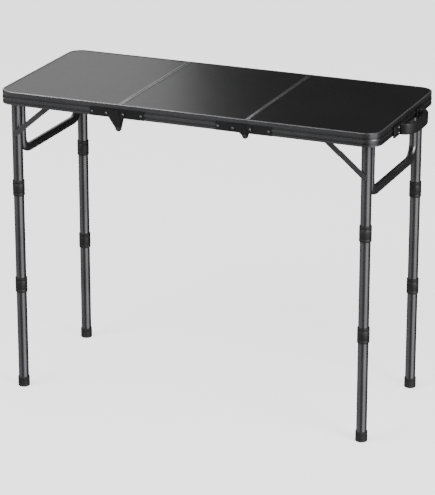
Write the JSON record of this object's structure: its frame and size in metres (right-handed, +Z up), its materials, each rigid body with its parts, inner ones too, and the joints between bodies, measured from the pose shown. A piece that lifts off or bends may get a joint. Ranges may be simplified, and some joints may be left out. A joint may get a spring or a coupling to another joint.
{
  "type": "folding camp kitchen table",
  "caption": "Folding aluminium camp table: hinged panels with grooved rails, folding braced leg pairs, screw-in lower leg sections and a carrying handle.",
  "frame": {"origin": "on the floor under the middle of the whole length, handle included", "axes": "+X along the table to the handle end, +Y to the back, +Z up"},
  "size_m": [0.937, 0.4086, 0.716],
  "materials": {
    "board_sheet": "composite board with a satin black metal face",
    "rail_coat": "satin dark grey coat",
    "tube_coat": "satin dark grey coat",
    "collar_plastic": "moulded",
    "grip_plastic": "moulded",
    "foot_rubber": "moulded",
    "hinge_steel": "satin dark coat",
    "link_steel": "satin dark coat",
    "rivet_steel": "polished"
  },
  "bodies": {
    "centre_panel": {"centre_back_rail": "rail_coat", "centre_board": "board_sheet", "centre_front_rail": "rail_coat", "centre_hinge_rivets": "rivet_steel", "centre_left_seam_rail": "rail_coat", "centre_right_seam_rail": "rail_coat", "left_hinge_centre_leaves": "hinge_steel", "left_hinge_pins": "rivet_steel", "right_hinge_centre_leaves": "hinge_steel", "right_hinge_pins": "rivet_steel"},
    "left_panel": {"left_bent_rail": "rail_coat", "left_board": "board_sheet", "left_seam_rail": "rail_coat", "left_hinge_outer_leaves": "hinge_steel", "left_hinge_rivets": "rivet_steel", "left_panel_pins": "rivet_steel"},
    "left_legs": {"left_front_upper_leg": "tube_coat", "left_back_upper_leg": "tube_coat", "left_cross_tube": "tube_coat", "left_leg_pins": "rivet_steel"},
    "left_upper_links": {"left_upper_brace_links": "link_steel", "left_knee_pins": "rivet_steel"},
    "left_lower_links": {"left_lower_brace_links": "link_steel"},
    "left_front_lower_leg": {"left_front_middle_section": "tube_coat", "left_front_upper_collar": "collar_plastic"},
    "left_front_foot_section": {"left_front_lower_collar": "collar_plastic", "left_front_lower_section": "tube_coat", "left_front_foot_cap": "foot_rubber"},
    "left_back_lower_leg": {"left_back_middle_section": "tube_coat", "left_back_upper_collar": "collar_plastic"},
    "left_back_foot_section": {"left_back_lower_collar": "collar_plastic", "left_back_lower_section": "tube_coat", "left_back_foot_cap": "foot_rubber"},
    "right_panel": {"right_bent_rail": "rail_coat", "right_board": "board_sheet", "right_seam_rail": "rail_coat", "right_hinge_outer_leaves": "hinge_steel", "right_hinge_rivets": "rivet_steel", "right_panel_pins": "rivet_steel", "handle_grip": "grip_plastic", "handle_screws": "rivet_steel"},
    "right_legs": {"right_front_upper_leg": "tube_coat", "right_back_upper_leg": "tube_coat", "right_cross_tube": "tube_coat", "right_leg_pins": "rivet_steel"},
    "right_upper_links": {"right_upper_brace_links": "link_steel", "right_knee_pins": "rivet_steel"},
    "right_lower_links": {"right_lower_brace_links": "link_steel"},
    "right_front_lower_leg": {"right_front_middle_section": "tube_coat", "right_front_upper_collar": "collar_plastic"},
    "right_front_foot_section": {"right_front_lower_collar": "collar_plastic", "right_front_lower_section": "tube_coat", "right_front_foot_cap": "foot_rubber"},
    "right_back_lower_leg": {"right_back_middle_section": "tube_coat", "right_back_upper_collar": "collar_plastic"},
    "right_back_foot_section": {"right_back_lower_collar": "collar_plastic", "right_back_lower_section": "tube_coat", "right_back_foot_cap": "foot_rubber"}
  },
  "joints": [
    {"name": "left_panel_fold", "type": "hinge", "parent": "centre_panel", "child": "left_panel", "pos_m": [-0.1685, 0, 0.6635], "axis": [0, -1, 0], "range_deg": [0, 180]},
    {"name": "left_legs_fold", "type": "hinge", "parent": "left_panel", "child": "left_legs", "pos_m": [-0.4351, 0, 0.6986], "axis": [0, -1, 0], "range_deg": [0, 90.5]},
    {"name": "left_upper_links_fold", "type": "hinge", "parent": "left_panel", "child": "left_upper_links", "pos_m": [-0.3345, 0, 0.6986], "axis": [0, -1, 0], "range_deg": [0, 140.1]},
    {"name": "left_lower_links_fold", "type": "hinge", "parent": "left_legs", "child": "left_lower_links", "pos_m": [-0.4351, 0, 0.6131], "axis": [0, -1, 0], "range_deg": [-130.9, 0]},
    {"name": "left_front_lower_leg_off", "type": "slide", "parent": "left_legs", "child": "left_front_lower_leg", "axis": [0, -1, 0], "range_m": [0, 0.161]},
    {"name": "left_front_foot_section_unscrew", "type": "slide", "parent": "left_front_lower_leg", "child": "left_front_foot_section", "axis": [0, 0, -1], "range_m": [0, 0.02]},
    {"name": "left_back_lower_leg_off", "type": "slide", "parent": "left_legs", "child": "left_back_lower_leg", "axis": [0, 1, 0], "range_m": [0, 0.161]},
    {"name": "left_back_foot_section_unscrew", "type": "slide", "parent": "left_back_lower_leg", "child": "left_back_foot_section", "axis": [0, 0, -1], "range_m": [0, 0.02]},
    {"name": "right_panel_fold", "type": "hinge", "parent": "centre_panel", "child": "right_panel", "pos_m": [0.1315, 0, 0.6815], "axis": [0, 1, 0], "range_deg": [0, 180]},
    {"name": "right_legs_fold", "type": "hinge", "parent": "right_panel", "child": "right_legs", "pos_m": [0.3981, 0, 0.6986], "axis": [0, 1, 0], "range_deg": [0, 90.5]},
    {"name": "right_upper_links_fold", "type": "hinge", "parent": "right_panel", "child": "right_upper_links", "pos_m": [0.2975, 0, 0.6986], "axis": [0, 1, 0], "range_deg": [0, 140.1]},
    {"name": "right_lower_links_fold", "type": "hinge", "parent": "right_legs", "child": "right_lower_links", "pos_m": [0.3981, 0, 0.6131], "axis": [0, 1, 0], "range_deg": [-130.9, 0]},
    {"name": "right_front_lower_leg_off", "type": "slide", "parent": "right_legs", "child": "right_front_lower_leg", "axis": [0, -1, 0], "range_m": [0, 0.161]},
    {"name": "right_front_foot_section_unscrew", "type": "slide", "parent": "right_front_lower_leg", "child": "right_front_foot_section", "axis": [0, 0, -1], "range_m": [0, 0.02]},
    {"name": "right_back_lower_leg_off", "type": "slide", "parent": "right_legs", "child": "right_back_lower_leg", "axis": [0, 1, 0], "range_m": [0, 0.161]},
    {"name": "right_back_foot_section_unscrew", "type": "slide", "parent": "right_back_lower_leg", "child": "right_back_foot_section", "axis": [0, 0, -1], "range_m": [0, 0.02]}
  ],
  "couplings": [
    {"joint": "left_legs_fold", "follows": "left_panel_fold", "ratio": 0.5},
    {"joint": "left_upper_links_fold", "follows": "left_panel_fold", "ratio": 0.77577},
    {"joint": "left_lower_links_fold", "follows": "left_panel_fold", "ratio": -0.72423},
    {"joint": "left_front_lower_leg_off", "follows": "left_panel_fold", "m_per_rad": 0.05093},
    {"joint": "left_back_lower_leg_off", "follows": "left_panel_fold", "m_per_rad": 0.05093},
    {"joint": "right_legs_fold", "follows": "right_panel_fold", "ratio": 0.5},
    {"joint": "right_upper_links_fold", "follows": "right_panel_fold", "ratio": 0.77577},
    {"joint": "right_lower_links_fold", "follows": "right_panel_fold", "ratio": -0.72423},
    {"joint": "right_front_lower_leg_off", "follows": "right_panel_fold", "m_per_rad": 0.05093},
    {"joint": "right_back_lower_leg_off", "follows": "right_panel_fold", "m_per_rad": 0.05093}
  ]
}
